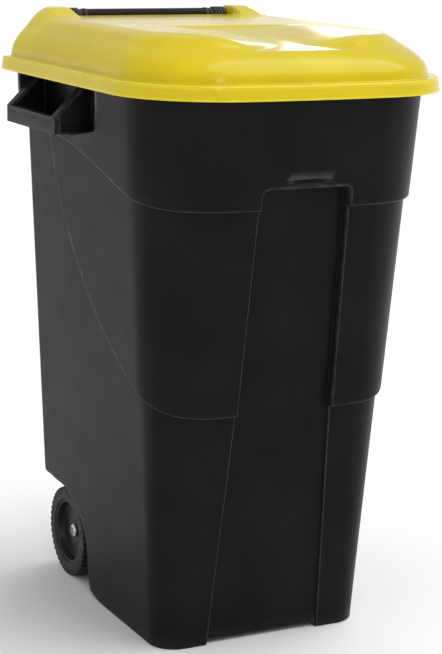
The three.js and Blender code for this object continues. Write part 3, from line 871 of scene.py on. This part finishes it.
# Lines of points added to the lid's top, where the humps and the scoop begin and end.
TOP_LINES = (
    (0, (-139, -136.2, -133.5, 133.5, 136.2, 139)),
    (1, (SCOOP_REAR - 5, SCOOP_REAR - 3, SCOOP_REAR - 1, SCOOP_REAR + 1, SCOOP_REAR + 3)),
)


def lid_ring(side, front, rear, inset):
    """Half an outline of the lid in plan, from the middle of the front round to the middle of the rear."""
    half = LID_HALF - side - inset
    front_y = LID_FRONT + front + inset
    rear_y = LID_REAR - rear - inset
    radius = max(LID_RADII[0] - 0.6 * side, 40) - inset
    rear_radius = max(LID_RADII[1] - 0.3 * side, 12) - inset
    flat_end = half - radius
    for _ in range(4):
        lean = math.atan(2 * BOW * flat_end / half**2)
        flat_end = half - radius + radius * math.sin(lean)
    corner_y = front_y + BOW * (flat_end / half) ** 2 + radius * math.cos(lean)
    points = [(x, front_y + BOW * (x / half) ** 2) for x in np.linspace(0, flat_end, 20)]
    for turn in np.linspace(lean - math.pi / 2, 0, 27)[1:]:
        points.append((half - radius + radius * math.cos(turn), corner_y + radius * math.sin(turn)))
    points += [(half, y) for y in np.linspace(corner_y, rear_y - rear_radius, 44)[1:]]
    for turn in np.linspace(0, math.pi / 2, 13)[1:]:
        across, along = rear_radius * math.cos(turn), rear_radius * math.sin(turn)
        points.append((half - rear_radius + across, rear_y - rear_radius + along))
    points += [(x, rear_y) for x in np.linspace(half - rear_radius, 0, 20)[1:]]
    return np.array(points)


def smooth_curve(knots, steps):
    """Points along a smooth curve through the knots."""
    ends = np.concatenate([[2 * knots[0] - knots[1]], knots, [2 * knots[-1] - knots[-2]]])
    made = []
    for before, start, end, after in zip(ends, ends[1:], ends[2:], ends[3:]):
        for step in range(steps):
            t = step / steps
            made.append(
                0.5 * (2 * start + (end - before) * t + (2 * before - 5 * start + 4 * end - after) * t**2
                       + (3 * start - before - 3 * end + after) * t**3)
            )
    return [*made, knots[-1]]


def lid_profile():
    """Rows up the lid from the bottom of its skirt: height, then distance in at side, front and rear."""
    lip, root = 3.0, 3.0
    rows = [(LID_SKIRT, 0.9, 0.9, 0.9), (LID_SKIRT + 0.3, 0.25, 0.25, 0.25), (LID_SKIRT + 0.9, 0, 0, 0)]
    for height in np.linspace(LID_SKIRT + 4, LEDGE - lip, 5):
        taper = SKIRT_TAPER * (height - LID_SKIRT) / (LEDGE - LID_SKIRT)
        rows.append((height, taper, taper, taper))
    foot = DOME[0, 1:]
    ledge_width = foot - SKIRT_TAPER
    for turn in np.radians((22.5, 45, 67.5, 90)):
        across = SKIRT_TAPER + 0.24 * ledge_width * (1 - math.cos(turn))
        rows.append((LEDGE - lip * (1 - math.sin(turn)), *across))
    for turn in np.radians((0, 22.5, 45, 67.5)):
        across = foot - 0.24 * ledge_width * (1 - math.sin(turn))
        rows.append((LEDGE + root * (1 - math.cos(turn)), *across))
    dome = smooth_curve(DOME, 6)
    rows += [tuple(row) for row in dome if row[0] > LEDGE + root]
    return rows


def hump_height(x, y, z):
    """How far the covers over the hinge pins raise the lid at a point of its plain dome."""
    along = ease(y, HUMP_FRONT - 8, HUMP_CREST + 4)
    across = 1 - ease(np.abs(x), *HUMP_OUTER)
    shoulder = ease(z, LEDGE + 16, PLATEAU)
    inner = ease(np.abs(x), *HUMP_INNER)
    return (HUMP_TOP - PLATEAU) * along * across * shoulder * inner


def scoop_height(x, y):
    """The hollow in the lid's front: a bell-shaped floor that falls forward, between two broad slopes."""
    behind = np.maximum(y - SCOOP_REAR, 0) * 0.5
    floor = PLATEAU - SCOOP_DROP + (np.minimum(y, SCOOP_REAR) - SCOOP_REAR) * SCOOP_FALL
    floor = floor + behind + SCOOP_DROP * ease(y, SCOOP_REAR - 5, SCOOP_REAR + 3)
    half = 23 + 20 * ease(y, -150, -10) + 85 * ease(-y, 178, 268)
    share = (np.abs(x) - half) / (SCOOP_RIM - half)
    slope = (PLATEAU + 0.6 - floor) * share
    return floor + soft_max(slope, np.zeros_like(slope), 1.6)


def lid_surface(points, drop):
    """Adds the humps and the scoop to points of the plain dome."""
    x, y, z = points[:, 0], points[:, 1], points[:, 2] + drop
    raised = z + hump_height(x, y, z)
    shaped = soft_min(raised, scoop_height(x, y), 1.4)
    high = ease(z, LEDGE + 8, LEDGE + 20)
    return np.stack([x, y, lerp(z, np.minimum(shaped, raised), high) - drop], -1)


def lid_block(inset):
    """The solid under the lid's outer face, or with an inset the hollow inside the lid."""
    rings = []
    for z, side, front, rear in lid_profile():
        plan = lid_ring(side, front, rear, inset)
        height = LID_SKIRT - 1 if inset and z < LID_SKIRT + 0.2 else z - inset
        rings.append(np.column_stack([plan, np.full(len(plan), height)]))
    edge = rings[-1]
    centre = np.array([0, CROWN_Y, edge[0, 2]])
    for share in np.linspace(0, 1, 54)[1:-1]:
        rings.append(lerp(edge, centre, share))
    rings = [mirrored_ring(ring) for ring in rings]
    count = len(rings[0])
    points = np.concatenate(rings)
    faces = grid_faces(len(rings), count)
    faces.append(tuple(range(count))[::-1])
    faces.append(tuple(range(len(points) - count, len(points))))
    return sculpted(mesh_from(points, faces), inset)


def sculpted(mesh, drop):
    """The block with its humps raised and its scoop sunk."""
    with edited(mesh) as work:
        for axis, places in TOP_LINES:
            across = Vector((0, 0, 0))
            across[axis] = 1
            for place in places:
                everything = [*work.verts, *work.edges, *work.faces]
                centre = across * place * MM
                bmesh.ops.bisect_plane(work, geom=everything, dist=1e-7, plane_co=centre, plane_no=across)
    places = np.empty(3 * len(mesh.vertices))
    mesh.vertices.foreach_get("co", places)
    places = lid_surface(places.reshape(-1, 3) / MM, drop) * MM
    mesh.vertices.foreach_set("co", places.ravel())
    tidy(mesh)
    return mesh


def notch_block(grow):
    """The space in the rear of the lid where the grip bar lies."""
    low = (-NOTCH_HALF - grow, NOTCH_FRONT - grow, LID_SKIRT - 9)
    high = (NOTCH_HALF + grow, LID_REAR + 9, HUMP_TOP + 9)
    return bevelled(block(low, high), 5 + grow, 4)


def make_lid():
    """A hollow shell with a notch for the grip bar and two pin holes, cut away behind to let it swing."""
    shell = combined("DIFFERENCE", lid_block(0), notch_block(0))
    hollow = combined("DIFFERENCE", lid_block(LID_WALL), notch_block(LID_WALL))
    swing = block((-234, 262, LID_SKIRT - 9), (234, LID_REAR + 9, LEDGE + 3.4))
    foot = block((-149, 225, LID_SKIRT - 9), (149, 262.4, TUB_TOP + 0.37))
    hole, reach = PIN_RADIUS + 0.1, 172
    holes = turned([(-reach, 0), (-reach, hole), (reach, hole), (reach, 0)], HINGE, 32)
    shell = combined("DIFFERENCE", shell, hollow, swing, foot, holes)
    piece("lid_shell", shell, yellow, "lid", "lid")


# ---- handles, hinge and grip bar
def make_side_handle(side):
    """Grip plate held off the wall by two cheeks, each with a flange along its edge and a sunk panel."""
    web, flange = 8, 15  # widths along the bin
    low, high = HANDLE_LOW, HANDLE_HIGH + (0, 0, 12)
    bar_top = low[2] + 24
    bar = block((high[0] - 10, low[1], low[2]), (high[0], high[1], bar_top))
    slope_end = high[0] - (high[2] - bar_top)
    edge = [(high[0], bar_top), (slope_end, high[2]), (low[0], high[2])]
    section = [(low[0], low[2]), (high[0], low[2]), *edge]
    drop = 5 * math.sqrt(2)
    strip = [*edge[::-1], (high[0], bar_top - drop)]
    strip += [(slope_end - 2, high[2] - drop + 2), (low[0], high[2] - drop + 2)]
    cheeks = []
    for web_start, strip_start in ((low[1], low[1]), (high[1] - web, high[1] - flange)):
        cheek = prism(section, web_start, web_start + web, "Y")
        with edited(cheek) as work:
            ends = [face for face in work.faces if abs(face.normal.y) > 0.9]
            bmesh.ops.inset_individual(work, faces=ends, thickness=6.5 * MM, depth=-1.8 * MM)
        cheeks += [cheek, prism(strip, strip_start, strip_start + flange, "Y")]
    handle = bevelled(combined("UNION", bar, *cheeks), 1.3, 3)
    side_piece(side, "handle", handle, charcoal, "side_handle")


def make_hinge_arm(side):
    """Upright with a ribbed collar that holds the grip bar and a hinge pin."""
    x0, x1 = ARM_LOW[0], ARM_HIGH[0]
    radius = ARM_HIGH[2] - HINGE_Z
    root = radius - 1.4  # between the collar's ribs
    outer = []
    for rib in range(4):
        start = x0 + rib * (x1 - x0) / 4
        outer += [(start, root), (start + 0.7, radius), (start + 4.2, radius), (start + 4.7, root)]
    outer += [(x1, root)]
    collar = turned([(x0, 0), *outer, (x1, 0)], HINGE)
    foot_z = ARM_LOW[2]
    profile = [(TUB_REAR - 16, foot_z), (TUB_REAR, foot_z), (HINGE_Y + 7, HINGE_Z), (HINGE_Y - 7, HINGE_Z)]
    upright = bevelled(prism(profile, x0 + 0.3, x1 - 0.3, "X"), 1.5, 3)
    cuts = []
    for end, hole in ((x1 + 1, PIN_RADIUS + GAP), (x0 + SPIGOT_LENGTH + GAP, SPIGOT_RADIUS + GAP)):
        cuts.append(turned([(x0 - 1, 0), (x0 - 1, hole), (end, hole), (end, 0)], HINGE, 40))
    arm = combined("DIFFERENCE", combined("UNION", collar, upright), *cuts)
    side_piece(side, "arm", arm, charcoal, "hinge_arm")


def make_grip_bar():
    """Round bar with a beaded shoulder at each end and a spigot that goes into its arm."""
    tip = GRIP_HIGH[0]
    end = tip - SPIGOT_LENGTH
    spigot = SPIGOT_RADIUS
    radius = GRIP_HIGH[2] - HINGE_Z
    bead = radius + 0.9
    half = [(end - 14, radius), (end - 13, bead), (end - 9, bead), (end - 8, radius), (end - 1.5, radius)]
    half += [(end - 0.4, radius - 0.5), (end, radius - 1.5), (end, spigot), (tip - 1, spigot)]
    half += [(tip, spigot - 1), (tip, 0)]
    half = [(0, radius), (end / 3, radius), (end * 2 / 3, radius), *half]
    bar = turned(both_ways(half), HINGE, 96)
    piece("grip_tube", bar, charcoal, "base", "grip_bar")


def make_hinge_pin(side):
    """Push-in pin with a domed head and a split, tapered tip."""
    x0, x1 = PIN_LOW[0], PIN_HIGH[0]
    head = PIN_HIGH[2] - HINGE_Z
    dome = [(x1 - 1.4 * (1 - math.cos(t)), head * math.sin(t)) for t in np.radians((0, 20, 40, 60, 80, 90))]
    profile = [(x0, 0), (x0, 3.6), (x0 + 1.6, PIN_RADIUS), (x1 - 3, PIN_RADIUS), (x1 - 3, head), *dome[::-1]]
    pin = turned(profile, HINGE, 48)
    split = block((x0 - 1, HINGE_Y - 0.6, HINGE_Z - 9), (x0 + 8, HINGE_Y + 0.6, HINGE_Z + 9))
    pin = combined("DIFFERENCE", pin, split)
    side_piece(side, "pin", pin, black, "hinge_pin", "lid")


# ---- running gear
TEETH = 43
TOOTH_DEPTH = 2.9
# Over a tooth and the gap beside it, the share of the depth that is missing.
TOOTH_STEPS = (0.0, 0.0, 0.0, 0.05, 0.25, 0.75, 1.0, 1.0, 0.75, 0.25)


def make_tyre(side):
    """Solid tyre with a shallow groove round its middle and teeth that run over its rounded shoulders."""
    x0, x1 = TYRE_LOW[0], TYRE_HIGH[0]
    radius = (TYRE_HIGH[2] - TYRE_LOW[2]) / 2
    inner = RIM_RADIUS + GAP
    middle = (x0 + x1) / 2
    half = [(middle + 2.2, radius - 1.8, 0.2), (middle + 3, radius - 0.2, 1), (x1 - 6, radius, 1)]
    half += [(x1 - 2.2, radius - 0.2, 1), (x1 - 0.9, radius - 0.7, 1), (x1 - 0.2, radius - 1.8, 1)]
    half += [(x1, radius - 3.6, 0.8), (x1, radius - 6.6, 0.1), (x1, radius - 7.4, 0)]
    half += [(x1, inner + 2.9, 0), (x1 - 0.4, inner + 2.3, 0), (x1 - 3.2, inner, 0)]
    profile = [(2 * middle - x, r, depth) for x, r, depth in half[::-1]] + half
    depths = [depth for _, _, depth in profile]

    def tread(place, step):
        return -TOOTH_DEPTH * depths[place] * TOOTH_STEPS[step % len(TOOTH_STEPS)]

    ring = turned([(x, r) for x, r, _ in profile], AXLE, TEETH * len(TOOTH_STEPS), tread)
    side_piece(side, "tread", ring, tyre_rubber, "tyre", f"{side}_wheel")


def make_wheel_rim(side):
    """Dished wheel: a deep outer wall, a flat disc with a raised hub ring, and ribs behind."""
    x0, x1 = RIM_LOW[0] + 3.2, RIM_HIGH[0] - 3.2
    disc_x = CAP_LOW[0] - GAP
    bore, hub = WHEEL_BORE, 15
    wall = RIM_RADIUS - 2.4
    profile = [(x0, bore), (x0, hub), (disc_x - 5, hub), (disc_x - 5, wall), (x0, wall), (x0, RIM_RADIUS)]
    profile += [(x1, RIM_RADIUS), (x1, wall), (disc_x + 1.2, wall - 3), (disc_x + 0.2, wall - 8)]
    profile += [(disc_x, wall - 10), (disc_x, hub + 7), (disc_x + 0.9, hub + 5.5), (disc_x + 0.9, hub + 1)]
    profile += [(disc_x, hub - 1), (disc_x, bore)]
    wheel = turned(rounded(profile, 1.1, 3), AXLE, 96)
    ribs = []
    for turn in np.arange(8) * math.pi / 4:
        rib = bevelled(block((x0 + 5, -1.6, hub - 2), (disc_x - 4, 1.6, wall + 1)), 0.6)
        rib.transform(Matrix.Translation((0, WHEEL_Y * MM, AXLE_Z * MM)) @ Matrix.Rotation(turn, 4, "X"))
        ribs.append(rib)
    wheel = combined("UNION", wheel, *ribs)
    side_piece(side, "rim", wheel, black, "wheel_rim", f"{side}_wheel")


def make_axle_cap(side):
    """Domed push-on cap with a dimple in the middle."""
    x0, x1 = CAP_LOW[0], CAP_HIGH[0]
    radius = CAP_HIGH[2] - AXLE_Z
    end = AXLE_HIGH[0] + GAP
    turns = np.radians((75, 62, 50, 40, 32))
    dome = [(x1 - 3.6 * (1 - math.cos(turn)) ** 0.9, radius * math.sin(turn)) for turn in turns]
    dimple = [(x1 - 0.2, radius * 0.52), (x1 - 0.5, radius * 0.48), (x1 - 2.6, radius * 0.45), (x1 - 2.8, 0)]
    profile = [(x0, AXLE_BORE), (x0, radius - 0.4), (x0 + 0.4, radius), (x0 + 1.6, radius), *dome, *dimple]
    profile += [(end, 0), (end, AXLE_BORE - 0.4), (end - 0.4, AXLE_BORE)]
    cap = turned(profile, AXLE, 64)
    side_piece(side, "cap", cap, steel, "axle_cap")


def make_axle():
    """Steel rod with a groove near each end for its cap."""
    x1 = AXLE_HIGH[0]
    radius = AXLE_HIGH[2] - AXLE_Z
    groove = radius - 0.7
    half = [(0, radius), (x1 - 60, radius), (x1 - 4.2, radius), (x1 - 3.9, groove), (x1 - 2.9, groove)]
    half += [(x1 - 2.6, radius), (x1 - 1.2, radius), (x1, radius - 1.2), (x1, 0)]
    bar = turned(both_ways(half), AXLE, 64)
    piece("axle_bar", bar, steel, "base", "axle")


def make_axle_spacer(side):
    """Waisted sleeve between saddle and wheel."""
    x0, x1 = SPACER_LOW[0], SPACER_HIGH[0]
    radius = SPACER_HIGH[2] - AXLE_Z
    outer = [(x0, radius - 1), (x0 + 1, radius), (x0 + 4, radius), (x0 + 5.5, radius - 1.6)]
    outer += [(x1 - 5.5, radius - 1.6), (x1 - 4, radius), (x1 - 1, radius), (x1, radius - 1)]
    sleeve = turned([(x0, AXLE_BORE), *outer, (x1, AXLE_BORE)], AXLE, 56)
    side_piece(side, "spacer", sleeve, black, "axle_spacer")


def make_axle_saddle(side):
    """Hanger with a snap mouth for the axle, and two raised bands across it."""
    low, high = SADDLE_LOW, SADDLE_HIGH
    throat = 6.5
    mouth = [(WHEEL_Y - throat - 2, low[2]), (WHEEL_Y - throat, low[2] + 3)]
    lowest = math.asin(math.sqrt(1 - (throat / AXLE_BORE) ** 2))
    for turn in np.linspace(math.pi + lowest, -lowest, 25):
        mouth.append((WHEEL_Y + AXLE_BORE * math.cos(turn), AXLE_Z + AXLE_BORE * math.sin(turn)))
    mouth += [(WHEEL_Y + throat, low[2] + 3), (WHEEL_Y + throat + 2, low[2])]

    def section(inset):
        sides = [(high[1] - inset, low[2]), (high[1] - inset, high[2]), (low[1] + inset, high[2])]
        return mouth + sides + [(low[1] + inset, low[2])]

    hanger = prism(section(1.5), low[0], high[0], "X")
    bands = [prism(section(0), place, place + 6, "X") for place in (low[0] + 4, high[0] - 10)]
    saddle = bevelled(combined("UNION", hanger, *bands), 0.7, 2, 40)
    side_piece(side, "saddle", saddle, black, "axle_saddle")


# ---- studio
def make_camera():
    """A camera at the photograph's viewing angle."""
    azimuth, pitch, roll = (math.radians(angle) for angle in (26.657, 12.371, 0.986))
    level_ahead = Vector((math.sin(azimuth), math.cos(azimuth), 0))
    ahead = math.cos(pitch) * level_ahead - math.sin(pitch) * Vector((0, 0, 1))
    level = Vector((math.cos(azimuth), -math.sin(azimuth), 0))
    above = level.cross(ahead)
    right = math.cos(roll) * level + math.sin(roll) * above
    up = math.cos(roll) * above - math.sin(roll) * level
    turn = Matrix((right, up, -ahead)).transposed().to_4x4()
    data = bpy.data.cameras.new("camera")
    data.lens = 105.63
    data.sensor_width = 36
    camera = placed("camera", data)
    camera.matrix_world = Matrix.Translation((-1.2363, -2.4642, 1.0325)) @ turn
    bpy.context.scene.camera = camera


def aimed(direction):
    """The turn that points a light along a direction."""
    return Vector(direction).to_track_quat("-Z", "Y").to_euler()


def soft_light(name, place, target, width, height, power):
    """A rectangular panel of light that faces a target."""
    data = bpy.data.lights.new(name, "AREA")
    data.shape = "RECTANGLE"
    data.size, data.size_y = width, height
    data.energy = power
    light = placed(name, data)
    light.location = place
    light.rotation_euler = aimed(Vector(target) - Vector(place))


def make_world():
    """A sky that is bright near the horizon and dimmer overhead, like a pale studio sweep."""
    world = bpy.data.worlds.new("studio")
    world.use_nodes = True
    tree = world.node_tree
    split = tree.nodes.new("ShaderNodeSeparateXYZ")
    feed(tree, split, {"Vector": tree.nodes.new("ShaderNodeTexCoord").outputs["Generated"]})
    stops = [(0.0, (1.0, 1.0, 1.0)), (0.06, (0.96, 0.96, 0.96)), (0.20, (0.62, 0.62, 0.62))]
    feed(tree, tree.nodes["Background"], {"Color": ramp(tree, split.outputs["Z"], stops), "Strength": 1.0})
    bpy.context.scene.world = world
    bpy.context.scene.view_settings.view_transform = "Standard"


def make_floor():
    """A plain pale floor that reaches past the horizon of the view."""
    material, tree, surface = shader("pale_floor")
    feed(tree, surface, {"Base Color": (0.92, 0.92, 0.92, 1), "Roughness": 0.9})
    reach = 80
    corners = [(-reach, -reach, 0), (reach, -reach, 0), (reach, reach, 0), (-reach, reach, 0)]
    mesh = bpy.data.meshes.new("floor")
    mesh.from_pydata(corners, [], [(0, 1, 2, 3)])
    mesh.materials.append(material)
    placed("floor", mesh)


def make_lights():
    """A broad light overhead, a strip for the front, and a small panel that the lid's scoop reflects."""
    sun = bpy.data.lights.new("sky_panel", "SUN")
    sun.angle = math.radians(60)
    sun.energy = 1.8
    placed("sky_panel", sun).rotation_euler = aimed((-0.5, 0.15, -1))
    soft_light("front_strip", (-0.9, -3.0, 1.9), (0, 0, 0.5), 0.3, 0.9, 9)
    soft_light("lid_sheen", (1.66, 2.40, 1.50), (0, -0.1, 0.86), 0.4, 0.45, 2.0)


# ---- assembly
make_tub()
make_lid()
make_grip_bar()
make_axle()
for side in ("left", "right"):
    make_side_handle(side)
    make_hinge_arm(side)
    make_hinge_pin(side)
    make_tyre(side)
    make_wheel_rim(side)
    make_axle_cap(side)
    make_axle_spacer(side)
    make_axle_saddle(side)
make_camera()
make_world()
make_floor()
make_lights()
